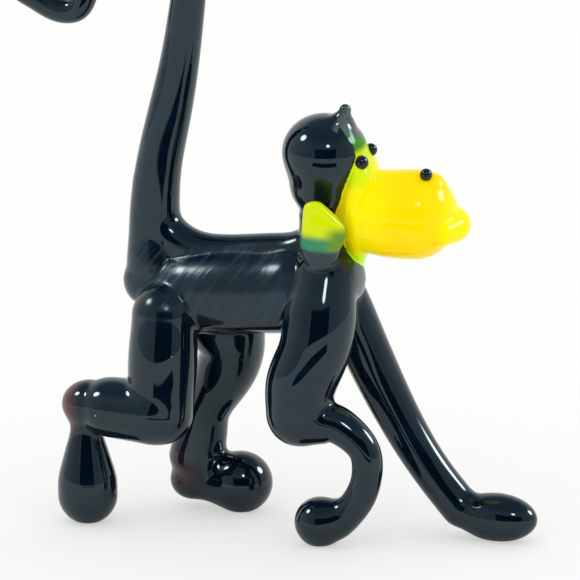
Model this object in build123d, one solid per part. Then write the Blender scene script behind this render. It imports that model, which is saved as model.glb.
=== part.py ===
from build123d import *
import os

# A small monkey of flame-worked glass, walking on all fours with its tail arched over its back.
# It is drawn from separate hot gathers: black glass for body, limbs, tail and head,
# yellow glass for face, muzzle and ears, and black beads for eyes and nose.
# Every gather is its own solid, fused face to face to the one that carries it.
# All lengths are millimetres. +X is the way the monkey walks, +Y its left side, +Z up,
# and the floor under its feet is Z = 0.

# Stance: the skeleton of the figure
hip_height = 40.2
shoulder_height = 45.0
hip_to_shoulder = 28.0
hind_stance = 15.8
fore_stance = 13.2
sole_flat = 0.35

# Side of the square block that stands for the marver the feet are pressed on
marver_size = 120.0

# Angle round its own line at which a turned gather's seam lies, clear of what joins it
seam_turn = 37

# Pull of a four-point curve that makes it a quarter round
round_share = 0.5523

# Torso
body_width = 15.2
ridge_width = 6.8

# Tail
tail_root_width = 10.2
tail_tip_width = 4.2
tail_rise = 67.0
tail_back_reach = 28.0

# Right hind leg, the one that pushes off, and its hanging teardrop foot
thigh_width = 11.1
heel_reach = 17.9
heel_width = 10.8
ankle_width = 5.6
right_hind_foot_width = 10.3

# Left hind leg, swung forward under the body, and its blunt foot
left_thigh_width = 11.6
left_ankle_width = 6.6
left_hind_foot_width = 10.7
left_hind_foot_length = 17.9

# Right arm: a thick upper arm, a thinner curled forearm and a ball of a hand
upper_arm_width = 11.7
forearm_width = 5.3
elbow_reach = 12.5
right_hand_width = 8.5

# Left arm, stretched far forward, and its flattened hand
left_shoulder_width = 9.4
left_wrist_width = 6.4
left_arm_reach = 22.0
left_hand_length = 14.0
left_hand_width = 8.2
left_hand_tilt = 3

# Neck
neck_width = 8.2
head_rise = 15.3
head_forward = 2.2

# Head, on its own frame: forward along the muzzle, across to the left ear, up the crown
head_yaw = 10.6
head_pitch = 4.5
head_roll = 10.3
skull_width = 13.9
skull_rise = 11.9
skull_drop = 8.2
skull_set_back = 3.8

# Face plate with its chin tuft
face_rise = 12.4
face_drop = 14.3
face_width = 14.4
face_depth = 5.4
face_forward = 1.3

# Crest of clear black glass, scooped out in front
crest_base = 6.6
crest_rise = 8.0
crest_width = 9.0
crest_depth = 8.0

# Muzzle
muzzle_length = 20.6
muzzle_width = 14.9
muzzle_drop = 5.2
muzzle_tip_drop = 3.3
bridge_width = 5.6
bridge_height = 1.1
lip_width = 5.2
lip_drop = 5.3

# Ears: a dished rim of black glass with a yellow bead pressed into it
ear_spread = 8.6
ear_drop = 5.4
ear_set_back = 2.3
ear_rim_width = 6.6
ear_rim_height = 10.4
ear_rim_depth = 3.6
ear_bead_width = 6.6
ear_bead_height = 8.8
ear_bead_depth = 3.4
ear_bead_lift = 1.7

# Beads
eye_width = 2.2
eye_spacing = 6.2
eye_rise = 5.7
eye_forward = 3.4
nose_width = 2.0


def figure_point(forward, side, height):
    """A point of the figure, counted from the hips along the floor."""
    return Vector(forward, side, height)


def rod(points, widths):
    """A drawn rod: rounds set square to one smooth line, and cut square at both ends."""
    line = Spline(*points)
    rounds = []
    for point, width in zip(points, widths):
        here = line.param_at_point(point)
        square = Plane(origin=point, x_dir=(0, 1, 0), z_dir=line.tangent_at(here))
        rounds.append(square * Circle(width / 2))
    return loft(rounds)


def gather(start, end, width, shares):
    """A gather turned about the line from start to end, with a rounded end at each.

    Each row of shares is how far along it lies and how wide the glass is there.
    The ends are rounded off from the first and the last row.
    """
    length = (end - start).length
    rows = [(wide * width / 2, along * length) for along, wide in shares]
    first_half, first_reach = rows[0]
    last_half, last_place = rows[-1]
    last_reach = length - last_place
    loose = 1 - round_share
    first_end = Bezier((0, 0), (round_share * first_half, 0), (first_half, loose * first_reach), rows[0])
    side = Spline(*rows, tangents=((0, 1), (0, 1)))
    last_end = Bezier(rows[-1], (last_half, last_place + round_share * last_reach),
                      (round_share * last_half, length), (0, length))
    half = make_face([first_end, side, last_end, Line((0, length), (0, 0))])
    stood = Plane(origin=start, z_dir=end - start).location * Rot(0, 0, seam_turn)
    return stood * revolve(Plane.XZ * half, Axis.Z)


def egg(width, depth, height):
    """An egg or lens of glass, of the three full sizes given along X, Y and Z."""
    return scale(Sphere(width / 2), by=(1, depth / width, height / width))


def largest(cut):
    """The main solid of what a cut has left."""
    return max(cut.solids(), key=lambda solid: solid.volume)


def seat(piece, *carriers):
    """Fuse a gather to what carries it: it ends where the carriers begin."""
    piece = largest(piece)
    for carrier in carriers:
        piece = largest(piece - carrier)
    return piece


def stand(piece):
    """Press a foot flat on the marver, so that its sole is level with the floor."""
    below = Box(marver_size, marver_size, marver_size, align=(Align.CENTER, Align.CENTER, Align.MAX))
    return piece - Pos(hip_to_shoulder / 2, 0, 0) * below


# Body: one thick gather, swelling from the rump to the middle and narrowing to the chest.
body_shares = [
    (0.114, 0.645), (0.23, 0.816), (0.347, 0.96), (0.51, 1.0), (0.674, 0.987), (0.813, 0.92),
]
hips = figure_point(0, 0, hip_height)
shoulders = figure_point(hip_to_shoulder, 0, shoulder_height)
spine = shoulders - hips
rump = hips + Vector(-0.353 * hip_to_shoulder, 0, 0.025 * hip_height)
chest = shoulders + Vector(0.178 * hip_to_shoulder, 0, -0.018 * shoulder_height)
body = gather(rump, chest, body_width, body_shares)

# Tail: drawn up out of the rump, arched back over the body, and hooked up at its tip.
# Each row is how far forward (+) or back (-) against the tail's reach, how far up its rise,
# and how far the width has gone from root to tip.
tail_shares = [
    (0.000, 0.000, 0.00), (-0.012, 0.060, 0.18), (-0.012, 0.123, 0.27), (0.015, 0.235, 0.38),
    (0.095, 0.382, 0.46), (0.170, 0.530, 0.60), (0.222, 0.675, 0.71), (0.243, 0.779, 0.76),
    (0.180, 0.888, 0.80), (-0.018, 0.964, 0.84), (-0.311, 0.988, 0.87), (-0.604, 0.955, 0.89),
    (-0.857, 0.878, 0.92), (-0.979, 0.779, 0.94), (-0.925, 0.705, 0.96), (-0.761, 0.660, 0.98),
    (-0.600, 0.632, 1.00), (-0.497, 0.640, 1.00), (-0.445, 0.680, 0.97),
]
tail_root = figure_point(-0.26 * body_width, 0, hip_height + 0.27 * body_width)
tail_points = [
    tail_root + Vector(back * tail_back_reach, 0, up * tail_rise) for back, up, taper in tail_shares
]
tail_widths = [
    tail_root_width + taper * (tail_tip_width - tail_root_width) for back, up, taper in tail_shares
]
tail_bead = Pos(tail_points[-1]) * Sphere(0.54 * tail_tip_width)
tail = seat(rod(tail_points, tail_widths) + tail_bead, body)

# Head frame: X forward along the muzzle, Y to the left ear, Z up to the crown.
head_turn = Rot(0, 0, head_yaw) * Rot(0, head_pitch, 0) * Rot(head_roll, 0, 0)
head_place = Pos(hip_to_shoulder + head_forward, 0, shoulder_height + head_rise) * head_turn
nape = (head_place * Pos(-skull_set_back, 0, -skull_drop)).position
crown = (head_place * Pos(-skull_set_back, 0, skull_rise)).position

# Neck: a short thick rod from the chest up round the bottom of the skull.
neck_shares = [(0.20, 1.05), (0.50, 1.02), (0.80, 0.96)]
neck_foot = shoulders - 0.05 * spine
neck_top = nape + 0.25 * (crown - nape)
neck = seat(gather(neck_foot, neck_top, neck_width, neck_shares), body)

# Skull: a pear of black glass turned about its own upright, rounder at the crown.
skull_shares = [(0.14, 0.52), (0.276, 0.70), (0.43, 0.82), (0.55, 0.93), (0.677, 1.0)]
head = seat(gather(nape, crown, skull_width, skull_shares), neck)

# Right hind leg: a straight thigh and a shank bent sharply back to the raised heel.
hind_side = hind_stance / 2
thigh_shares = [(0.20, 0.95), (0.40, 1.0), (0.62, 0.97), (0.81, 1.0)]
shank_shares = [(0.25, 0.98), (0.44, 1.0), (0.60, 0.94), (0.74, 0.82)]
knee_height = 0.51 * hip_height
thigh_top = hips + Vector(0.04 * thigh_width, -0.58 * hind_side, 0.24 * thigh_width)
knee = figure_point(0.03 * thigh_width, -hind_side, knee_height - 0.49 * thigh_width)
thigh = gather(thigh_top, knee, thigh_width, thigh_shares)
shank_front = figure_point(0.35 * heel_width, -0.97 * hind_side, knee_height)
heel = figure_point(-heel_reach, -0.97 * hind_side, knee_height + 0.03 * heel_width)
shank = gather(shank_front, heel, heel_width, shank_shares)
right_hind_leg = seat(thigh + shank, body, tail)

# Right hind foot: a teardrop hanging from the heel, its swollen end pressed flat.
ankle_part = ankle_width / right_hind_foot_width
right_foot_shares = [(0.24, 1.0), (0.32, 1.0), (0.40, 0.965), (0.52, 0.83), (0.64, 0.68),
                     (0.75, ankle_part), (0.90, 0.95 * ankle_part)]
right_foot_base = figure_point(heel.X + 0.42 * heel_width, -hind_side, -sole_flat)
right_foot_top = figure_point(right_foot_base.X - 0.02 * heel_width, -hind_side, knee_height)
teardrop = gather(right_foot_base, right_foot_top, right_hind_foot_width, right_foot_shares)
right_hind_foot = seat(stand(teardrop), right_hind_leg)

# Left hind leg: swings forward at the thigh and tapers back down to a low ankle.
left_leg_shares = [(0.10, 0.99, 0.40, 0.92, 0), (0.61, 0.806, 0.68, 1.07, 0), (0.53, 0.62, 0.85, 0.91, 0),
                   (0.18, 0.42, 0.94, 0.30, 0.65), (-0.01, 0.26, 0.975, 0.10, 1.02),
                   (-0.09, 0.14, 0.985, 0.0, 1.0)]
left_leg_points = [
    figure_point(along * left_thigh_width, side * hind_side, up * hip_height)
    for along, up, side, thigh_part, ankle_part in left_leg_shares
]
left_leg_widths = [
    thigh_part * left_thigh_width + ankle_part * left_ankle_width
    for along, up, side, thigh_part, ankle_part in left_leg_shares
]
left_hind_leg = seat(rod(left_leg_points, left_leg_widths), body, right_hind_leg)

# Left hind foot: a blunt drop lying forward from the ankle, widest at the toe.
left_foot_shares = [(0.13, 0.58), (0.32, 0.66), (0.50, 0.84), (0.69, 1.0)]
left_heel = figure_point(-0.36 * left_thigh_width, hind_side, 0.40 * left_hind_foot_width)
left_toe = figure_point(left_heel.X + left_hind_foot_length, hind_side,
                        0.50 * left_hind_foot_width - sole_flat)
left_foot_drop = gather(left_heel, left_toe, left_hind_foot_width, left_foot_shares)
left_hind_foot = seat(stand(left_foot_drop), left_hind_leg)

# Right upper arm: a thick column from the shoulder to a rounded elbow.
fore_side = fore_stance / 2
upper_arm_shares = [(0.22, 0.96), (0.33, 1.0), (0.58, 0.96), (0.84, 1.0)]
arm_top = shoulders + Vector(0.05 * upper_arm_width, -0.30 * fore_side, 0.55 * upper_arm_width)
elbow = figure_point(hip_to_shoulder - 0.28 * upper_arm_width, -fore_side, 0.50 * shoulder_height)
elbow_tip = elbow + Vector(-0.02 * upper_arm_width, 0, -0.54 * upper_arm_width)
right_upper_arm = seat(gather(arm_top, elbow_tip, upper_arm_width, upper_arm_shares), body, neck)

# Right forearm: springs forward from the elbow, bows out and curls back to the wrist.
forearm_shares = [(0.13, 0.475, 1.32), (0.29, 0.474, 1.32), (0.50, 0.468, 1.26), (0.68, 0.445, 1.17),
                  (0.86, 0.405, 1.05), (0.965, 0.32, 0.98), (0.93, 0.24, 0.975), (0.80, 0.165, 1.04),
                  (0.56, 0.105, 1.15)]
forearm_points = [
    figure_point(elbow.X + along * elbow_reach, -fore_side, up * shoulder_height)
    for along, up, wide in forearm_shares
]
forearm_widths = [wide * forearm_width for along, up, wide in forearm_shares]
right_forearm = seat(rod(forearm_points, forearm_widths), right_upper_arm)

# Right hand: a ball, pressed flat underneath.
right_hand_ball = Sphere(right_hand_width / 2)
right_hand_place = Pos(elbow.X + 0.29 * elbow_reach, -fore_side, right_hand_width / 2 - sole_flat)
right_hand = seat(stand(right_hand_place * right_hand_ball), right_forearm)

# Left arm: one long taper from the chest to the wrist.
left_arm_shares = [(-0.03, 0.99, 0.40, 1.0), (0.055, 0.872, 0.76, 0.78), (0.135, 0.76, 0.88, 0.67),
                   (0.245, 0.637, 0.955, 0.57), (0.39, 0.50, 0.985, 0.40), (0.54, 0.374, 1.0, 0.23),
                   (0.75, 0.229, 1.0, 0.10), (0.955, 0.12, 1.0, 0.0)]
left_arm_points = [
    figure_point(hip_to_shoulder + along * left_arm_reach, side * fore_side, up * shoulder_height)
    for along, up, side, taper in left_arm_shares
]
left_arm_widths = [
    left_wrist_width + taper * (left_shoulder_width - left_wrist_width)
    for along, up, side, taper in left_arm_shares
]
left_arm = seat(rod(left_arm_points, left_arm_widths), body, neck, right_upper_arm)

# Torso: the body with a ridge laid along its back, from the tail to the neck.
# Each row is how far along the spine and how far above it, against the body's width.
ridge_shares = [(-0.04, 0.544), (0.14, 0.418), (0.31, 0.343), (0.47, 0.322), (0.63, 0.318),
                (0.78, 0.36), (0.92, 0.44)]
ridge_points = [hips + along * spine + Vector(0, 0, up * body_width) for along, up in ridge_shares]
ridge = seat(rod(ridge_points, [ridge_width] * len(ridge_points)), tail, neck, right_upper_arm, left_arm)
torso = body + ridge

# Left hand: a flattened egg laid forward of the wrist.
left_hand_egg = egg(left_hand_length, left_hand_width, left_hand_width)
left_hand_lean = Rot(0, left_hand_tilt, 0)
left_hand_place = Pos(left_arm_points[-1].X + 0.44 * left_hand_length, fore_side,
                      left_hand_width / 2 - sole_flat)
left_hand = seat(stand(left_hand_place * left_hand_lean * left_hand_egg), left_arm)

# Face plate: a tall leaf of yellow glass laid on the front of the skull, with a chin tuft below.
# Each row is the height, down (-) against the face's drop or up against its rise,
# then how far forward, how deep and how wide.
face_shares = [(-1.0, 0.19, 0.15, 0.07), (-0.91, 0.18, 0.62, 0.31), (-0.75, 0.14, 0.88, 0.55),
               (-0.45, 0.03, 0.98, 0.80), (-0.10, 0.0, 1.0, 0.94), (0.27, 0.10, 0.92, 0.86),
               (0.50, 0.04, 0.80, 0.71), (0.75, -0.08, 0.62, 0.50), (1.0, -0.35, 0.19, 0.11)]


def face_section(up, forward, deep, wide):
    """One level slice of the face plate, as an ellipse on the head's frame."""
    height = up * (face_drop if up < 0 else face_rise)
    level = Plane(origin=(face_forward + forward * face_depth, 0, height))
    return level * Ellipse(deep * face_depth / 2, wide * face_width / 2)


face_leaf = head_place * loft([face_section(*row) for row in face_shares])
face = seat(face_leaf, head, neck, body, right_upper_arm, left_arm)

# Muzzle: a swelling gather with a bridge along its top and a rolled lower lip.
cheek_shares = [(0.22, 0.82), (0.44, 0.95), (0.67, 1.0)]
bridge_shares = [(0.20, 0.95), (0.80, 0.92)]
lip_shares = [(0.40, 1.0), (0.60, 1.0)]
cheeks = gather(Vector(-0.22 * muzzle_length, 0, -muzzle_drop),
                Vector(0.98 * muzzle_length, 0, -muzzle_tip_drop), muzzle_width, cheek_shares)
bridge = gather(Vector(0, 0, bridge_height), Vector(0.74 * muzzle_length, 0, bridge_height),
                bridge_width, bridge_shares)
lip_forward = 1.03 * muzzle_length - 0.5 * lip_width
lip = gather(Vector(lip_forward, -0.85 * lip_width, -lip_drop),
             Vector(lip_forward, 0.85 * lip_width, -lip_drop), lip_width, lip_shares)
muzzle_glass = head_place * (cheeks + bridge + lip)
muzzle = seat(muzzle_glass, head, face_leaf, neck, body, right_upper_arm, left_arm)

# Crest: a peak of clear black glass pinched up at the front of the crown, scooped like a spoon.
# Each row is how far up, how wide, and how far back of the head's middle it stands.
crest_shares = [(0.0, 1.0, -0.32), (0.36, 0.76, -0.24), (0.68, 0.47, -0.15), (1.0, 0.12, -0.05)]
crest_sections = [
    Plane(origin=(back * crest_rise, 0, crest_base + up * crest_rise))
    * Ellipse(wide * crest_depth / 2, wide * crest_width / 2)
    for up, wide, back in crest_shares
]
scoop = Pos(0.29 * crest_depth, 0, crest_base + 0.5 * crest_rise) * egg(
    0.70 * crest_depth, 0.66 * crest_width, 1.3 * crest_rise)
crest = seat(head_place * (loft(crest_sections) - scoop), head, face)

# Ears: on each side a shallow black rim against the jaw, with a yellow bead pressed in it.
ears = {}
for side_name, side in (("right", -1), ("left", 1)):
    ear_place = head_place * Pos(-ear_set_back, side * ear_spread, -ear_drop)
    rim_glass = Pos(0, -side * 0.30 * ear_rim_depth, -0.18 * ear_rim_height) * egg(
        ear_rim_width, ear_rim_depth, ear_rim_height)
    bead_glass = Pos(0.03 * ear_bead_width, side * (ear_bead_lift - 0.5 * ear_rim_depth), 0) * egg(
        ear_bead_width, ear_bead_depth, ear_bead_height)
    bead = ear_place * bead_glass
    rim = seat(ear_place * rim_glass, head, neck, body, face_leaf, muzzle, right_upper_arm, left_arm)
    rim = seat(rim, bead)
    ears[side_name + "_ear_rim"] = rim
    ears[side_name + "_ear"] = seat(bead, head, face_leaf, muzzle, neck, body, right_upper_arm, left_arm)

# Eyes and nose: round black beads pressed into the hot yellow glass.
eyes = {}
for side_name, side in (("right", -1), ("left", 1)):
    eye_ball = head_place * Pos(eye_forward, side * eye_spacing / 2, eye_rise) * Sphere(eye_width / 2)
    eyes[side_name + "_eye"] = seat(eye_ball, face, muzzle)
nose_height = bridge_height + 0.48 * bridge_width
nose_ball = head_place * Pos(0.68 * muzzle_length, 0, nose_height) * Sphere(nose_width / 2)
nose = seat(nose_ball, muzzle)

pieces = {
    "torso": torso,
    "tail": tail,
    "right_hind_leg": right_hind_leg,
    "right_hind_foot": right_hind_foot,
    "left_hind_leg": left_hind_leg,
    "left_hind_foot": left_hind_foot,
    "right_upper_arm": right_upper_arm,
    "right_forearm": right_forearm,
    "right_hand": right_hand,
    "left_arm": left_arm,
    "left_hand": left_hand,
    "neck": neck,
    "head": head,
    "face": face,
    "muzzle": muzzle,
    "crest": crest,
    "nose": nose,
}
pieces.update(ears)
pieces.update(eyes)

# The origin is on the floor, under the middle of the figure's own box.
whole = Compound([solid for piece in pieces.values() for solid in piece.solids()])
reach = whole.bounding_box()
home = Pos(-reach.center().X, -reach.center().Y, 0)
print("moved by", home.position, "size", reach.size)

os.makedirs("parts", exist_ok=True)
for name, piece in pieces.items():
    export_step(home * piece, "parts/" + name + ".step")
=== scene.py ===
import math
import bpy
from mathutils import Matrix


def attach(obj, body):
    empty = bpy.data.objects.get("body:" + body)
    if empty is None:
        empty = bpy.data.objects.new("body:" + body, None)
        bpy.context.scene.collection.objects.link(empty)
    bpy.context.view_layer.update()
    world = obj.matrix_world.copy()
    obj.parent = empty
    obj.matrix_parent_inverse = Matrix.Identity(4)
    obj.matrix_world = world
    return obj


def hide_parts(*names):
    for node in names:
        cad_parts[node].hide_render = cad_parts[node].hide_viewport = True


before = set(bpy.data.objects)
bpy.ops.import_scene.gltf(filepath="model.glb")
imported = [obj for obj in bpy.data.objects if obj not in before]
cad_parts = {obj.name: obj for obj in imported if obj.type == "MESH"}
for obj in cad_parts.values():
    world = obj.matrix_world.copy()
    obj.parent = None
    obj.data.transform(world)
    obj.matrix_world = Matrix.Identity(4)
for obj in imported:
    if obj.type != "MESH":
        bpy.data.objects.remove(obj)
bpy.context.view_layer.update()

from concurrent.futures import ThreadPoolExecutor

import bpy
import numpy as np
import openvdb
from mathutils import Vector


# The table the monkey stands on: a white sheet inside a white cloth tent, which is open only
# towards the camera. Black glass is nearly all reflection, so the tent is what shapes it.
# Three small lamps shine through the cloth, and give the round white sparks.
class Recipe:
    """A socket in a recipe of nodes, on which plain arithmetic works."""

    def __init__(self, tree, socket=None):
        self.tree = tree
        self.socket = socket

    def node(self, kind, settings=(), inputs=(), take=0):
        """Adds one node: its settings first, then a value or a link for each socket named."""
        made = self.tree.nodes.new(kind)
        for name, value in dict(settings).items():
            setattr(made, name, value)
        for name, value in dict(inputs).items():
            if isinstance(value, Recipe):
                self.tree.links.new(value.socket, made.inputs[name])
            else:
                made.inputs[name].default_value = value
        return Recipe(self.tree, made.outputs[take])

    def sum(self, operation, first, second):
        """One step of arithmetic on two numbers."""
        return self.node("ShaderNodeMath", {"operation": operation}, {0: first, 1: second})

    def __add__(self, other):
        return self.sum("ADD", self, other)

    def __radd__(self, other):
        return self.sum("ADD", other, self)

    def __sub__(self, other):
        return self.sum("SUBTRACT", self, other)

    def __rsub__(self, other):
        return self.sum("SUBTRACT", other, self)

    def __mul__(self, other):
        return self.sum("MULTIPLY", self, other)

    def __rmul__(self, other):
        return self.sum("MULTIPLY", other, self)

    def __lt__(self, other):
        return self.sum("LESS_THAN", self, other)

    def along(self, direction, origin=(0, 0, 0)):
        """How far this place lies from the origin in one direction."""
        away = self.node("ShaderNodeVectorMath", {"operation": "SUBTRACT"},
                         {0: self, 1: tuple(origin)})
        return self.node("ShaderNodeVectorMath", {"operation": "DOT_PRODUCT"},
                         {0: away, 1: tuple(direction)}, "Value")

    def step(self, start, end):
        """Rises softly from 0 to 1 between two values."""
        return self.node("ShaderNodeMapRange", {"interpolation_type": "SMOOTHSTEP"},
                         {"Value": self, "From Min": start, "From Max": end})

    def band(self, start, full, fading, end):
        """Rises softly from 0 to 1 between the first two values, and falls between the others."""
        return self.step(start, full) * (1 - self.step(fading, end))

    def tint(self, under, over):
        """Lays one colour over another as far as this mask says."""
        return self.node("ShaderNodeMix", {"data_type": "RGBA"}, {0: self, 6: under, 7: over}, 2)


camera_turn = math.radians(21)
camera_lift = math.radians(13)
camera_distance = 0.650
camera_target = Vector((0.0030, 0.0083, 0.0396))
picture_width = 580
seen_per_pixel = 0.00017
sight_limit = 20

towards = Vector((math.sin(camera_turn) * math.cos(camera_lift),
                  -math.cos(camera_turn) * math.cos(camera_lift), math.sin(camera_lift)))
rightwards = Vector((math.cos(camera_turn), math.sin(camera_turn), 0))
frontwards = Vector((math.sin(camera_turn), -math.cos(camera_turn), 0))
upwards = towards.cross(rightwards)
camera_data = bpy.data.cameras.new("picture_camera")
camera_data.lens = camera_data.sensor_width * camera_distance / (seen_per_pixel * picture_width)
camera_data.clip_end = sight_limit
camera = bpy.data.objects.new("picture_camera", camera_data)
camera.location = camera_target + camera_distance * towards
camera.rotation_euler = (-towards).to_track_quat("-Z", "Y").to_euler()
bpy.context.scene.collection.objects.link(camera)
bpy.context.scene.camera = camera

paper_white = (0.93, 0.935, 0.925, 1)
paper_seen = (0.45, 0.453, 0.448, 1)
paper_glow = (0.51, 0.515, 0.507, 1)
faint_glow = (0.035, 0.035, 0.035, 1)
dark = (0.0, 0.0, 0.0, 1)
paper_roughness = 0.9
sheet_size = 6.0
sheet_mesh = bpy.data.meshes.new("table_sheet")
half = sheet_size / 2
sheet_mesh.from_pydata([(-half, -half, 0), (half, -half, 0), (half, half, 0), (-half, half, 0)], [],
                       [(0, 1, 2, 3)])
sheet = bpy.data.objects.new("table_sheet", sheet_mesh)
bpy.context.scene.collection.objects.link(sheet)
sheet_paint = bpy.data.materials.new("table_sheet")
sheet_paint.use_nodes = True
sheet_shader = sheet_paint.node_tree.nodes["Principled BSDF"]
sheet_shader.inputs["Roughness"].default_value = paper_roughness
sheet_shader.inputs["Specular IOR Level"].default_value = 0.0
paper = Recipe(sheet_paint.node_tree)
watched = paper.node("ShaderNodeLightPath", take="Is Camera Ray")
mirrored = paper.node("ShaderNodeLightPath", take="Is Glossy Ray")
spot_on_sheet = paper.node("ShaderNodeTexCoord", take="Object")
in_front = spot_on_sheet.along(frontwards)
to_right = spot_on_sheet.along(rightwards)

# In the glass the sheet ends a little in front of the figure, and the dark room shows past it,
# in a patch that widens towards the camera.
room_depth = (0.121, 0.127, 0.22, 0.26)
room_right, right_slant = (0.015, 0.025), 0.52
room_left, left_slant = (-0.025, -0.015), 0.47
room = (mirrored * in_front.band(*room_depth)
        * (1 - (to_right - right_slant * in_front).step(*room_right))
        * (to_right + left_slant * in_front).step(*room_left))
sheet_colour = room.tint(watched.tint(paper_white, paper_seen), dark)
sheet_paint.node_tree.links.new(sheet_colour.socket, sheet_shader.inputs["Base Color"])
glow = watched.tint((mirrored - room).tint(dark, faint_glow), paper_glow)
sheet_paint.node_tree.links.new(glow.socket, sheet_shader.inputs["Emission Color"])
sheet_shader.inputs["Emission Strength"].default_value = 1.0
sheet_mesh.materials.append(sheet_paint)

backdrop_white = (0.96, 0.965, 0.955, 1)
plain_white = (1.06, 1.06, 1.06, 1)
back_white = (1.0, 1.0, 1.0, 1)
side_grey = (0.60, 0.65, 0.68, 1)
front_grey = (0.42, 0.47, 0.50, 1)
top_blue = (0.22, 0.30, 0.38, 1)
side_starts, front_starts, top_starts = (-0.7, 0.0), (0.15, 0.65), (0.55, 0.85)
opening_front, opening_top = (0.1, 0.2), (0.42, 0.50)
opening_sides = (-0.49, -0.44, 0.46, 0.51)
lamp_white = (22.0, 22.0, 22.0, 1)
lamp_core = 0.4
lamps = [  # right, up and towards the camera, then how wide each looks in degrees
    (0.83, 0.54, 0.00, 12),
    (0.13, 0.42, 0.90, 5.5),
    (-0.72, 0.65, 0.20, 9),
]
tent = bpy.data.worlds.new("tent")
tent.use_nodes = True
bpy.context.scene.world = tent
cloth = Recipe(tent.node_tree)
look = cloth.node("ShaderNodeTexCoord", take="Generated")
frontness = look.along(frontwards)
sideways = look.along(rightwards)
height = look.along((0, 0, 1))
wall = frontness.step(*side_starts).tint(back_white, side_grey)
wall = frontness.step(*front_starts).tint(wall, front_grey)
wall = height.step(*top_starts).tint(wall, top_blue)
opening = (frontness.step(*opening_front) * sideways.band(*opening_sides)
           * (1 - height.step(*opening_top)))
wall = opening.tint(wall, dark)
for right, up, near, wide in lamps:
    aim = (right * rightwards + up * upwards + near * towards).normalized()
    spot = look.along(aim).step(math.cos(math.radians(wide)),
                                math.cos(math.radians(lamp_core * wide)))
    wall = spot.tint(wall, lamp_white)
glossy = cloth.node("ShaderNodeLightPath", take="Is Glossy Ray")
wall = glossy.tint(plain_white, wall)
seen = cloth.node("ShaderNodeLightPath", take="Is Camera Ray")
wall = seen.tint(wall, backdrop_white)
tent.node_tree.links.new(wall.socket, tent.node_tree.nodes["Background"].inputs["Color"])
bpy.context.scene.view_settings.view_transform = "Standard"


# The torso: one thick gather of black glass, with the thinner rod that draws out into neck and
# tail laid along its back. The rod sinks into the soft gather, which leaves a groove each side.
reach = 4.0  # how far round a shape its distances are worked out, in millimetres
dip = 0.25  # how fast a piece dips under its carrier's skin beyond its web
tiny = 1e-12  # keeps a division from having nothing under it


class Hot:
    """A shape of hot glass: how far outside it a point lies, and its box, in millimetres."""

    def __init__(self, outside, low, high):
        self.outside = outside
        self.low = np.asarray(low, float)
        self.high = np.asarray(high, float)

    def __call__(self, points):
        beside = np.maximum(np.maximum(self.low - points, points - self.high), 0)
        gap = np.linalg.norm(beside, axis=1)
        away = gap + reach
        near = gap < reach
        if near.any():
            away[near] = self.outside(points[near])
        return away

    def fused(self, other, web):
        """Both shapes, run into each other with a web of glass in the corner between them."""
        return Hot(lambda points: run_together(self(points), other(points), web),
                   np.minimum(self.low, other.low), np.maximum(self.high, other.high))

    def laid_on(self, carrier, web):
        """This shape with its web on the carrier, under whose skin it dips beyond the web."""
        def outside(points):
            own, under = self(points), carrier(points)
            beyond = np.maximum(own - under - web, 0)
            return run_together(own, under, web) + dip * beyond ** 2
        return Hot(outside, self.low - web, self.high + web)

    def cut(self, tool, edge):
        """This shape less the tool, with its new edge rounded."""
        return Hot(lambda points: -run_together(-self(points), tool(points), edge),
                   self.low, self.high)


def run_together(first, second, web):
    """The smaller of two distances, rounded off where they are nearly the same."""
    close = np.maximum(web - np.abs(first - second), 0) / web
    return np.minimum(first, second) - close ** 3 * web / 6


def bends(stops, rows, level_ends):
    """How strongly the smooth line through the rows bends at each stop."""
    steps = np.diff(stops)
    slopes = np.diff(rows, axis=0) / steps[:, None]
    count = len(stops)
    system = np.eye(count)
    wanted = np.zeros_like(rows)
    for i in range(1, count - 1):
        system[i, i - 1:i + 2] = steps[i - 1], 2 * (steps[i - 1] + steps[i]), steps[i]
        wanted[i] = 6 * (slopes[i] - slopes[i - 1])
    if level_ends:
        system[0, :2] = 2 * steps[0], steps[0]
        wanted[0] = 6 * slopes[0]
        system[-1, -2:] = steps[-1], 2 * steps[-1]
        wanted[-1] = -6 * slopes[-1]
    return np.linalg.solve(system, wanted)


def follow(stops, rows, bend, places):
    """Value, slope and bend of the smooth line at each place along it."""
    i = np.clip(np.searchsorted(stops, places) - 1, 0, len(stops) - 2)
    step = (stops[i + 1] - stops[i])[:, None]
    u = (places - stops[i])[:, None] / step
    value = ((1 - u) * rows[i] + u * rows[i + 1]
             + (((1 - u) ** 3 - (1 - u)) * bend[i] + (u ** 3 - u) * bend[i + 1]) * step ** 2 / 6)
    slope = ((rows[i + 1] - rows[i]) / step
             + ((1 - 3 * (1 - u) ** 2) * bend[i] + (3 * u ** 2 - 1) * bend[i + 1]) * step / 6)
    return value, slope, (1 - u) * bend[i] + u * bend[i + 1]


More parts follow.
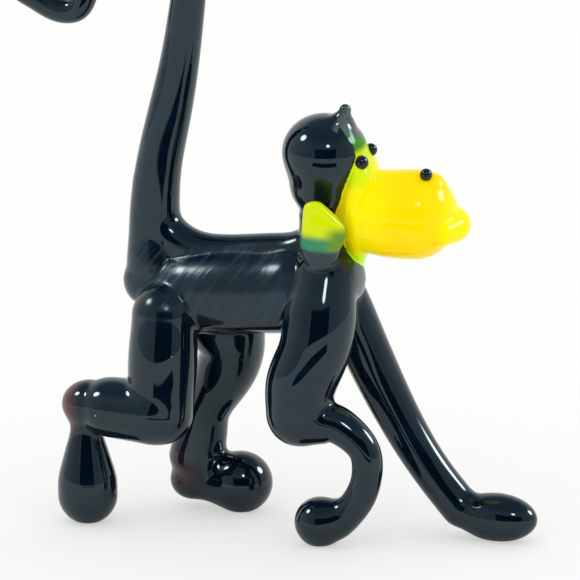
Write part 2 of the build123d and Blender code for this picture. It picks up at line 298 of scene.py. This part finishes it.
def rod(rows):
    """A drawn rod along a smooth line. Each row is a point of the line and the width there."""
    rows = np.asarray(rows, float)
    line, halves = rows[:, :3], rows[:, 3:] / 2
    stops = np.concatenate([[0], np.cumsum(np.linalg.norm(np.diff(line, axis=0), axis=1))])
    line_bend, half_bend = bends(stops, line, False), bends(stops, halves, True)
    samples_per_row, rounds, least_grip = 4, 4, 0.3
    samples = np.linspace(0, stops[-1], samples_per_row * len(stops))
    sample_points = follow(stops, line, line_bend, samples)[0]
    sample_halves = follow(stops, halves, half_bend, samples)[0][:, 0]

    def outside(points):
        best = np.full(len(points), np.inf)
        place = np.zeros(len(points))
        for at, middle, half_width in zip(samples, sample_points, sample_halves):
            away = np.linalg.norm(points - middle, axis=1) - half_width
            closer = away < best
            best[closer] = away[closer]
            place[closer] = at
        for turn in range(rounds):
            middle, slope, bend = follow(stops, line, line_bend, place)
            off = points - middle
            grip = (slope ** 2).sum(1)
            steep = np.maximum(grip - (off * bend).sum(1), least_grip * grip)
            place = np.clip(place + (off * slope).sum(1) / steep, 0, stops[-1])
        middle = follow(stops, line, line_bend, place)[0]
        half_width = follow(stops, halves, half_bend, place)[0][:, 0]
        return np.linalg.norm(points - middle, axis=1) - half_width

    widest = halves.max()
    return Hot(outside, line.min(0) - widest, line.max(0) + widest)


def gather(start, end, width, rows):
    """A gather turned about the line from start to end. Each row is how far along, and how wide.

    Past the first and the last row it closes as half an egg."""
    start, end, rows = (np.asarray(value, float) for value in (start, end, rows))
    length = np.linalg.norm(end - start)
    line = (end - start) / length
    stops, halves = rows[:, 0] * length, rows[:, 1:] * width / 2
    bend = bends(stops, halves, True)

    def outside(points):
        off = points - start
        along = off @ line
        apart = np.sqrt(np.maximum((off ** 2).sum(1) - along ** 2, tiny))
        level = np.clip(along, stops[0], stops[-1])
        half_width, slope = (value[:, 0] for value in follow(stops, halves, bend, level)[:2])
        away = (apart - half_width) / np.sqrt(1 + slope ** 2)
        for long, past in ((stops[0], stops[0] - along), (length - stops[-1], along - stops[-1])):
            egg = np.hypot(past / long, apart / half_width)
            steep = np.hypot(past / long ** 2, apart / half_width ** 2)
            away = np.where(past > 0, egg * (egg - 1) / np.maximum(steep, tiny), away)
        return away

    widest = width / 2
    return Hot(outside, np.minimum(start, end) - widest, np.maximum(start, end) + widest)


def drop(centre, sizes, axes=np.eye(3)):
    """An egg of glass with the three full sizes given along its own axes."""
    centre, halves, axes = (np.asarray(value, float) for value in (centre, sizes, axes))
    halves = halves / 2

    def outside(points):
        own = (points - centre) @ axes.T
        egg = np.linalg.norm(own / halves, axis=1)
        steep = np.linalg.norm(own / halves ** 2, axis=1)
        return egg * (egg - 1) / np.maximum(steep, tiny)

    return Hot(outside, centre - halves.max(), centre + halves.max())


hands = ThreadPoolExecutor(4)
points_each = 4000


def ask(shape, points):
    """How far outside the shape each point lies, worked out by several hands at once."""
    parts = np.array_split(points, max(1, len(points) // points_each))
    return np.concatenate(list(hands.map(shape, parts)))


def slopes_of(shape, points, span=0.02):
    """Which way is straight out of the shape at each point, and how steeply."""
    steps = span * np.eye(3)
    return np.stack([ask(shape, points + step) - ask(shape, points - step) for step in steps],
                    axis=1) / (2 * span)


def set_solid(name, shape, cell, glass):
    """Lets a shape set as a mesh on cells of one size, and puts it in place of its node."""
    block, margin, settling, least_steep = 4, 1.25, 2, 0.05
    low = shape.low - 2 * cell
    counts = np.ceil((shape.high + 2 * cell - low) / (cell * block)).astype(int)
    middles = [low[i] + cell * block * (np.arange(counts[i]) + 0.5) - cell / 2 for i in range(3)]
    middles = np.stack(np.meshgrid(*middles, indexing="ij"), axis=-1).reshape(-1, 3)
    fine = ask(shape, middles).reshape(counts)
    for axis in range(3):
        fine = np.repeat(fine, block, axis=axis)
    near = np.abs(fine) < margin * block * cell
    fine[near] = ask(shape, low + cell * np.argwhere(near))
    grid = openvdb.FloatGrid(float(2 * reach))
    grid.copyFromArray(np.ascontiguousarray(fine, np.float32))
    points, faces = grid.convertToQuads(0.0)
    points = low + cell * points.astype(float)
    for turn in range(settling):
        slope = slopes_of(shape, points)
        steep = np.maximum((slope ** 2).sum(1), least_steep)
        move = -(ask(shape, points) / steep)[:, None] * slope
        size = np.linalg.norm(move, axis=1, keepdims=True)
        points = points + move * np.minimum(1, cell / np.maximum(size, tiny))
    slope = slopes_of(shape, points)
    slope /= np.maximum(np.linalg.norm(slope, axis=1, keepdims=True), tiny)
    mesh = bpy.data.meshes.new(name)
    mesh.from_pydata((points / 1000).tolist(), [], faces.tolist())
    mesh.polygons.foreach_set("use_smooth", np.ones(len(mesh.polygons), bool))
    mesh.normals_split_custom_set_from_vertices(slope.tolist())
    mesh.materials.append(glass)
    piece = bpy.data.objects.new(name, mesh)
    bpy.context.scene.collection.objects.link(piece)
    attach(piece, "root")
    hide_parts(name)


under_hips = np.array([-14.259, -0.093, 0])


def figure(forward, side, height):
    """A point of the figure, counted forward, to its left and up from the floor under the hips."""
    return under_hips + (forward, side, height)


glass_bend, shine_tint = 1.54, (0.76, 0.98, 1.0, 1)


def glass_recipe(name, roughness):
    """A pot of glass: the material, its recipe and its glossy skin."""
    glass = bpy.data.materials.new(name)
    glass.use_nodes = True
    skin = glass.node_tree.nodes["Principled BSDF"]
    skin.inputs["Roughness"].default_value = roughness
    skin.inputs["IOR"].default_value = glass_bend
    skin.inputs["Specular Tint"].default_value = shine_tint
    return glass, Recipe(glass.node_tree), skin


def pour(recipe, value, skin, socket):
    """Feeds a recipe's result to a socket of the skin."""
    recipe.tree.links.new(value.socket, skin.inputs[socket])


def grained(recipe, where, grain, detail):
    """Noise with its own fineness in each direction, in grains to the metre."""
    stretched = recipe.node("ShaderNodeVectorMath", {"operation": "MULTIPLY"}, {0: where, 1: grain})
    return recipe.node("ShaderNodeTexNoise", {},
                       {"Vector": stretched, "Scale": 1.0, "Detail": detail})


fire_polish = 0.03
worked_roughness, brush_roughness, rubbed_roughness = 0.17, 0.15, 0.12
brush_strength, brush_depth = 0.12, 0.0002
deep_black = (0.0010, 0.0045, 0.011, 1)
blue_black = (0.0015, 0.0085, 0.021, 1)
brush_sheen_blue = (0.008, 0.030, 0.056, 1)
heel_red = (0.115, 0.022, 0.026, 1)
painted_rim_grey = (0.16, 0.19, 0.205, 1)
seed_grey = (0.30, 0.33, 0.35, 1)
streak_grain, streak_detail, streak_share = (60, 400, 400), 3.0, (0.45, 0.75)
brush_grain, brush_detail, brush_share = (1400, 200, 90), 4.0, (0.40, 0.80)
across_brush = (0.80, 0, -0.60)
seed_fineness, seed_size = 150.0, 0.022
left_heel_share = 0.45

black_glass, recipe, skin = glass_recipe("black_glass", fire_polish)
place = recipe.node("ShaderNodeTexCoord", take="Object")
forward = place.along((1, 0, 0), under_hips / 1000)
side = place.along((0, 1, 0))
height = place.along((0, 0, 1))
streaks = grained(recipe, place, streak_grain, streak_detail).step(*streak_share)
black = streaks.tint(deep_black, blue_black)
brush_place = recipe.node("ShaderNodeCombineXYZ", {},
                          {0: place.along(across_brush), 1: side, 2: height})
brushed = grained(recipe, brush_place, brush_grain, brush_detail).step(*brush_share)

# Where the glass differs, in metres: worked with a tool on the flank, whose streaks also carry a
# painted bluish sheen, rubbed on the ridge of the back, red at both heels, and painted light grey
# where the chest thins out, as a painted rim highlight.
worked = height.band(0.0355, 0.0395, 0.0475, 0.0500) * forward.band(-0.012, -0.006, 0.018, 0.026)
rubbed = height.band(0.0470, 0.0490, 0.0530, 0.0540) * forward.band(0.008, 0.014, 0.023, 0.026)
right_heel = (1 - forward.step(-0.0172, -0.0128)) * height.band(0.0145, 0.018, 0.0235, 0.0265)
left_heel = (side.step(0.001, 0.003) * (1 - forward.step(-0.004, 0.005))
             * height.band(0.001, 0.006, 0.006, 0.015))
# Painted highlight: the chest's thin edge is painted light grey for the bright rim that it shows.
chest_rim_highlight = (forward.step(0.0322, 0.0345) * side.step(-0.0045, -0.0015)
             * height.band(0.0385, 0.0420, 0.049, 0.052))
seeds = recipe.node("ShaderNodeTexVoronoi", {}, {"Vector": place, "Scale": seed_fineness})
# Painted sheen: the tool streaks on the flank are painted a lighter blue, for the lamp light that
# they smear.
black = (worked * brushed).tint(black, brush_sheen_blue)
black = (right_heel + left_heel_share * left_heel).tint(black, heel_red)
black = chest_rim_highlight.tint(black, painted_rim_grey)
black = (seeds < seed_size).tint(black, seed_grey)
pour(recipe, black, skin, "Base Color")
roughness = (fire_polish + worked * (worked_roughness + brush_roughness * brushed)
             + rubbed_roughness * rubbed)
pour(recipe, roughness, skin, "Roughness")
wavy = recipe.node("ShaderNodeBump", {}, {"Strength": brush_strength, "Distance": brush_depth,
                                          "Height": worked * brushed}, "Normal")
pour(recipe, wavy, skin, "Normal")


def limb(rows):
    """A rod on the figure. Each row is how far forward, left and up, and the width there."""
    return rod([(*figure(*row[:3]), row[3]) for row in rows])


torso_body = limb([(-4.7, 0, 41.5, 9.6), (0.2, 0, 40.9, 12.6), (5.0, 0, 40.7, 14.6),
                   (12.0, 0, 41.2, 15.2), (19.0, 0, 41.8, 15.1), (25.0, 0, 43.1, 14.1),
                   (27.8, 0, 44.3, 11.7)])
back_rod = limb([(-4.3, 0, 58.5, 6.4), (-4.0, 0, 54.6, 7.2), (-2.8, 0, 51.0, 7.5),
                 (0.1, 0, 48.4, 7.2), (4.0, 0, 47.05, 6.9), (8.7, 0, 46.9, 6.8),
                 (13.1, 0, 47.3, 6.8), (17.5, 0, 47.8, 6.8), (21.5, 0, 48.4, 6.8),
                 (25.4, 0, 50.4, 6.6)])
groove = 0.9
body = torso_body.fused(back_rod, groove)
set_solid("torso", body, 0.45, black_glass)


# The tail: drawn up out of the rump in one pull, arched over the back and hooked up at its tip,
# where the cut end was melted back to a bead.
tail_root = figure(-3.95, 0, 44.3)
tail_reach, tail_rise = 28.0, 67.0
tail_wide, tail_narrow = 10.2, 4.2
tail_rows = [  # shares of the reach, of the rise, and of the way from wide to narrow
    (0.009, 0.000, 0.00), (-0.003, 0.060, 0.18), (-0.003, 0.123, 0.27), (0.020, 0.235, 0.38),
    (0.095, 0.382, 0.46), (0.170, 0.530, 0.60), (0.222, 0.675, 0.71), (0.243, 0.779, 0.76),
    (0.180, 0.888, 0.80), (-0.018, 0.964, 0.84), (-0.311, 0.988, 0.87), (-0.604, 0.955, 0.89),
    (-0.857, 0.878, 0.92), (-0.979, 0.779, 0.94), (-0.925, 0.705, 0.96), (-0.761, 0.660, 0.98),
    (-0.600, 0.632, 1.00), (-0.497, 0.640, 1.00), (-0.445, 0.680, 0.97),
]
tail = rod([(*(tail_root + (ahead * tail_reach, 0, up * tail_rise)),
             tail_wide + taper * (tail_narrow - tail_wide)) for ahead, up, taper in tail_rows])


def weld(name, shape, carrier, web, cell=0.4, glass=black_glass):
    """Lays a shape hot on its carrier, lets it set as a piece, and gives back the two as one."""
    set_solid(name, shape.laid_on(carrier, web), cell, glass)
    return carrier.fused(shape, web)


body = weld("tail", tail, body, web=0.8)


# The right hind leg: a straight thigh pressed on the side of the rump, and a shank bent sharply
# back to the raised heel, from which the foot hangs as a drop with a flat sole.
hind_side = 7.9
thigh = gather(figure(-0.1, -4.6, 42.2), figure(-0.2, -hind_side, 14.9), 11.7,
               [(0.20, 0.95), (0.42, 1.0), (0.62, 0.985), (0.81, 0.955)])
shank = gather(figure(4.0, -7.7, 20.1), figure(-17.9, -7.7, 20.8), 10.8,
               [(0.288, 1.0), (0.524, 0.97), (0.692, 0.88), (0.768, 0.79)])
bend_web = 1.6
body = weld("right_hind_leg", thigh.fused(shank, bend_web), body, web=1.8)

far = 100
floor_below = Hot(lambda points: points[:, 2], (-far, -far, -far), (far, far, 0))
sole_edge = 0.35
right_foot = gather(figure(-13.4, -hind_side, -0.30), figure(-13.8, -hind_side, 21.0), 10.2,
                    [(0.238, 1.0), (0.32, 1.0), (0.397, 0.965), (0.519, 0.83), (0.642, 0.68),
                     (0.753, 0.547), (0.868, 0.515)])
body = weld("right_hind_foot", right_foot.cut(floor_below, sole_edge), body, web=1.5)


# The left hind leg: swings forward under the belly and tapers to a low ankle, with a blunt drop
# of a foot laid forward from it.
left_leg = limb([(2.0, 3.7, 39.5, 11.0), (5.6, 4.8, 35.8, 12.3), (7.05, 5.4, 32.37, 12.6),
                 (7.44, 6.0, 29.64, 11.6), (6.13, 6.7, 24.94, 10.5), (3.91, 7.1, 20.75, 9.0),
                 (2.2, 7.4, 16.94, 8.1), (1.5, 7.6, 13.58, 8.5), (0.6, 7.7, 10.39, 9.4),
                 (0.0, 7.8, 7.59, 9.2), (-0.7, 7.9, 4.64, 6.6)])
body = weld("left_hind_leg", left_leg, body, web=1.6)
left_foot = gather(figure(-4.1, hind_side, 4.7), figure(13.9, hind_side, 5.15), 10.8,
                   [(0.142, 0.49), (0.32, 0.65), (0.50, 0.84), (0.69, 1.0)])
body = weld("left_hind_foot", left_foot.cut(floor_below, sole_edge), body, web=3.0)


# The right arm: a thick column down to a rounded elbow, then a thinner forearm that springs
# forward, bows out and curls back to a ball of a hand.
fore_side = 6.6
upper_arm = limb([(27.8, -2.5, 45.3, 10.6), (27.7, -4.6, 39.5, 12.0), (26.9, -6.1, 32.6, 11.9),
                  (25.0, -fore_side, 27.3, 11.8), (24.75, -fore_side, 22.45, 11.3)])
body = weld("right_upper_arm", upper_arm, body, web=1.5)
forearm = limb([(forward, -fore_side, height, width) for forward, height, width in [
    (26.5, 21.2, 7.3), (28.34, 21.17, 7.33), (30.65, 21.2, 6.7), (32.95, 20.2, 6.1),
    (34.9, 18.71, 5.65), (36.33, 16.78, 5.31), (36.78, 14.42, 5.22), (36.53, 11.8, 5.16),
    (35.48, 8.93, 5.33), (33.54, 6.3, 5.68), (31.58, 4.7, 6.35)]])
body = weld("right_forearm", forearm, body, web=1.5, cell=0.35)
right_hand = drop(figure(28.37, -fore_side, 3.93), (8.5, 8.5, 8.5))
body = weld("right_hand", right_hand.cut(floor_below, sole_edge), body, web=2.4, cell=0.35)


# The left arm: one long taper reaching far forward, with a flattened egg of a hand.
left_arm = limb([(26.2, 2.6, 44.6, 8.8), (28.5, 5.0, 39.2, 8.4), (30.5, 5.8, 34.2, 8.3),
                 (32.9, 6.3, 28.7, 8.1), (36.1, 6.5, 22.5, 7.6), (39.4, fore_side, 16.85, 7.1),
                 (44.1, fore_side, 10.3, 6.7), (48.7, fore_side, 5.1, 6.7)])
body = weld("left_arm", left_arm, body, web=1.5)
left_hand = drop(figure(55.2, fore_side, 3.95), (14.1, 8.2, 8.2))
body = weld("left_hand", left_hand.cut(floor_below, sole_edge), body, web=2.2, cell=0.35)


# The head: a pear of black glass on a short neck, turned a little to the left and tipped.
# Everything on the head is placed by its own axes: forward along the muzzle, left, and up.
yaw, pitch, roll = (math.radians(angle) for angle in (10.6, 4.5, 10.3))
turn = np.array([[math.cos(yaw), -math.sin(yaw), 0], [math.sin(yaw), math.cos(yaw), 0], [0, 0, 1]])
tip = np.array([[math.cos(pitch), 0, math.sin(pitch)], [0, 1, 0],
                [-math.sin(pitch), 0, math.cos(pitch)]])
lean = np.array([[1, 0, 0], [0, math.cos(roll), -math.sin(roll)],
                 [0, math.sin(roll), math.cos(roll)]])
head_axes = (turn @ tip @ lean).T
head_middle = figure(30.2, 0, 60.3)


def on_head(forward, left, up):
    """A point of the head, counted from its middle along its own axes."""
    return head_middle + np.array([forward, left, up], float) @ head_axes


skull_back = -3.6
skull = gather(on_head(skull_back, 0, -8.2), on_head(skull_back, 0, 11.9), 14.3,
               [(0.14, 0.52), (0.276, 0.70), (0.43, 0.82), (0.55, 0.93), (0.677, 1.0)])
set_solid("head", skull, 0.3, black_glass)
body = body.fused(skull, 1.5)
neck = gather(figure(26.6, 0, 44.8), on_head(skull_back, 0, -3.5), 8.2,
              [(0.20, 1.05), (0.50, 1.02), (0.80, 0.96)])
body = weld("neck", neck, body, web=0.7, cell=0.35)


# The face: a tall leaf of lime and yellow glass laid over the front of the skull, which runs out
# below into a chin tuft and turns clear and green at its edges. A faint painted glow in its own
# colour stands in for the light that it lets through.
yellow_roughness, yellow_shine, painted_glow_strength = 0.09, 0.13, 0.15
lemon, shaded_warm_yellow = (0.95, 0.80, 0.0, 1), (1.0, 0.68, 0.0, 1)
lime, green, teal = (0.62, 0.78, 0.002, 1), (0.05, 0.22, 0.015, 1), (0.03, 0.16, 0.13, 1)
clear = (0.09, 0.105, 0.11, 1)
chin_lime, chin_green = (0.55, 0.86, 0.002, 1), (0.20, 0.36, 0.03, 1)

yellow_glass, recipe, skin = glass_recipe("yellow_glass", yellow_roughness)
skin.inputs["Specular IOR Level"].default_value = yellow_shine
skin.inputs["Emission Strength"].default_value = painted_glow_strength


def head_places(recipe):
    """How far forward and up on the head a place of the glass lies, in metres."""
    place = recipe.node("ShaderNodeTexCoord", take="Object")
    return (place.along(head_axes[axis], head_middle / 1000) for axis in (0, 2))


forward, up = head_places(recipe)
colour = (up.step(0.0005, 0.0035) * (1 - forward.step(0.0035, 0.0060))).tint(lemon, lime)
# Painted shade: the middle of the muzzle is painted a deeper, warmer yellow than its edges.
colour = forward.band(0.004, 0.0105, 0.0160, 0.0185).tint(colour, shaded_warm_yellow)
colour = up.step(0.0068, 0.0082).tint(colour, green)
colour = ((1 - forward.step(-0.0004, 0.0012)) * up.step(0.0040, 0.0070)).tint(colour, teal)
colour = up.step(0.0092, 0.0112).tint(colour, clear)
colour = (1 - up.step(-0.0112, -0.0092)).tint(colour, chin_lime)
colour = (1 - up.step(-0.0142, -0.0130)).tint(colour, chin_green)
pour(recipe, colour, skin, "Base Color")
# Painted glow: the face's colour also feeds its emission, so it shines a little by itself.
pour(recipe, colour, skin, "Emission Color")


def leaf(rows):
    """The face's leaf. Each row is a height on the head, then how far forward, deep and wide."""
    rows = np.asarray(rows, float)
    stops = rows[:, 0]
    bend = bends(stops, rows[:, 1:], False)
    thinnest, room_back, room_front, room_beside = 0.3, -4, 8, 8

    def outside(points):
        own = (points - head_middle) @ head_axes.T
        level = np.clip(own[:, 2], stops[0], stops[-1])
        front, deep, wide = follow(stops, rows[:, 1:], bend, level)[0].T
        deep, wide = np.maximum(deep, thinnest) / 2, np.maximum(wide, thinnest) / 2
        across = np.hypot((own[:, 0] - front) / deep, own[:, 1] / wide)
        steep = np.hypot((own[:, 0] - front) / deep ** 2, own[:, 1] / wide ** 2)
        flat = across * (across - 1) / np.maximum(steep, tiny)
        past = np.abs(own[:, 2] - level)
        rounded = np.hypot(np.maximum(flat, 0), past) + np.minimum(flat, 0)
        return np.where(past > 0, rounded, flat)

    corners = np.array([on_head(forward, left, up) for forward in (room_back, room_front)
                        for left in (-room_beside, room_beside) for up in (stops[0], stops[-1])])
    return Hot(outside, corners.min(0), corners.max(0))


face = leaf([(-14.3, 2.5, 1.2, 1.8), (-14.0, 2.5, 2.3, 3.6), (-13.1, 2.6, 3.2, 5.6),
             (-11.5, 3.0, 3.6, 7.4), (-9.4, 3.25, 4.9, 9.4), (-4.2, 2.6, 5.4, 12.6),
             (0.4, 2.65, 5.4, 12.8), (4.0, 2.75, 4.7, 10.4), (5.7, 2.05, 4.0, 8.2),
             (7.35, 1.35, 3.7, 7.4), (9.1, 0.6, 3.0, 6.4), (11.4, -0.3, 1.8, 3.8),
             (12.4, -0.6, 0.9, 1.6)])
body = weld("face", face, body, web=0.3, cell=0.25, glass=yellow_glass)


# The muzzle: a swelling gather of opaque yellow glass, with a narrow bridge along its top and a
# rolled lower lip.
def head_rod(rows):
    """A rod on the head. Each row is how far forward, left and up, and the width there."""
    return rod([(*on_head(*row[:3]), row[3]) for row in rows])


cheeks = gather(on_head(-0.8, 0, -4.9), on_head(19.2, 0, -3.2), 14.9,
                [(0.215, 0.90), (0.36, 0.955), (0.645, 1.0)])
bridge = head_rod([(2.0, 0, 0.6, 5.2), (6.5, 0, 0.4, 5.5), (9.0, 0, 0.55, 5.4),
                   (12.0, 0, 1.1, 5.4), (14.4, 0, 1.4, 5.0)])
lip = head_rod([(17.2, -4.2, -4.8, 4.4), (18.75, 0, -4.85, 5.4), (17.2, 4.2, -4.8, 4.4)])
bridge_web, lip_web = 1.6, 0.9
muzzle = cheeks.fused(bridge, bridge_web).fused(lip, lip_web)
body = weld("muzzle", muzzle, body, web=0.5, cell=0.3, glass=yellow_glass)


# The crest: a peak pinched up out of clear black glass, scooped out in front like a spoon. It is
# thin and grey in front of a thick dark rim that slants back from its foot.
rim_slant, rim_foot = 0.42, 0.0102
rim_black, thin_grey = (0.002, 0.006, 0.014, 1), (0.08, 0.095, 0.10, 1)
crest_glass, recipe, skin = glass_recipe("crest_glass", fire_polish)
forward, up = head_places(recipe)
past_rim = (forward - rim_slant * (up - rim_foot)).step(-0.0029, -0.0015)
pour(recipe, (past_rim * up.step(0.0070, 0.0095)).tint(rim_black, thin_grey), skin, "Base Color")

peak = head_rod([(-2.5, 0, 6.5, 7.0), (-1.55, 0, 9.2, 6.0), (-0.95, 0, 11.6, 4.1),
                 (-0.6, 0, 13.3, 2.0)])
scoop = head_rod([(2.0, -3.2, 6.6, 4.8), (0.35, -3.2, 9.4, 5.4), (-0.05, -2.6, 11.6, 3.8),
                  (-0.2, -1.8, 13.3, 2.1), (-0.2, -1.2, 14.4, 1.0)])
scoop_edge = 0.3
body = weld("crest", peak.cut(scoop, scoop_edge), body, web=1.0, cell=0.2, glass=crest_glass)


# The ears: on each side a dished rim of smoky glass with a lime petal pressed into it, which
# turns teal towards its lower edge.
ear_roughness, ear_shine, rim_roughness = 0.07, 0.2, 0.05
petal_lime, petal_moss = (0.68, 0.82, 0.0, 1), (0.16, 0.30, 0.02, 1)
petal_teal, petal_smoke = (0.045, 0.26, 0.12, 1), (0.03, 0.07, 0.07, 1)
smoke = (0.016, 0.026, 0.034, 1)
ear_glass, recipe, skin = glass_recipe("ear_glass", ear_roughness)
forward, up = head_places(recipe)
skin.inputs["Specular IOR Level"].default_value = ear_shine
colour = up.step(-0.0066, -0.0048).tint(petal_teal, petal_lime)
mossy = forward.step(-0.0022, 0.0008) * (1 - up.step(-0.0052, -0.0030))
colour = mossy.tint(colour, petal_moss)
colour = (1 - up.step(-0.0088, -0.0078)).tint(colour, petal_smoke)
pour(recipe, colour, skin, "Base Color")
smoky_glass, recipe, skin = glass_recipe("smoky_glass", rim_roughness)
skin.inputs["Base Color"].default_value = smoke


def beyond(point, direction):
    """All the glass past a flat cut through a point of the head, square to a direction there."""
    direction = np.asarray(direction, float) @ head_axes
    return Hot(lambda points: -((points - point) @ direction), point - far, point + far)


petal_side, petal_edge = 8.7, 1.2
petal_cuts = [  # a place forward and up on the petal, then the way that the cut faces
    ((-5.3, -4.0), (-1, 0, 0)), ((-0.7, -1.5), (0.65, 0, 0.76)), ((-3.0, 0.3), (-0.2, 0, 0.98)),
    ((-2.3, -8.7), (0, 0, -1)),
]
for side, name in ((-1, "right_ear"), (1, "left_ear")):
    rim = drop(on_head(-2.3, side * 8.0, -7.4), (6.8, 3.6, 10.4), head_axes)
    rimmed = weld(f"{name}_rim", rim, body, web=0.6, cell=0.25, glass=smoky_glass)
    petal = drop(on_head(-2.3, side * petal_side, -4.6), (8.6, 3.0, 11.0), head_axes)
    for (forward, up), direction in petal_cuts:
        cut_place = on_head(forward, side * petal_side, up)
        petal = petal.cut(beyond(cut_place, direction), petal_edge)
    weld(name, petal, rimmed, web=0.3, cell=0.25, glass=ear_glass)


# The eyes and the nose: beads of black glass, touched on last from the tip of a thin rod and
# left round.
bead_black = (0.002, 0.003, 0.008, 1)
bead_glass, recipe, skin = glass_recipe("bead_glass", fire_polish)
skin.inputs["Base Color"].default_value = bead_black
for name, spot, size in (("right_eye", (3.1, -3.4, 5.73), 2.4),
                         ("left_eye", (3.7, 2.0, 6.0), 2.2), ("nose", (13.66, -1.6, 4.15), 2.1)):
    bead = drop(on_head(*spot), (size, size, size), head_axes)
    set_solid(name, bead, 0.12, bead_glass)
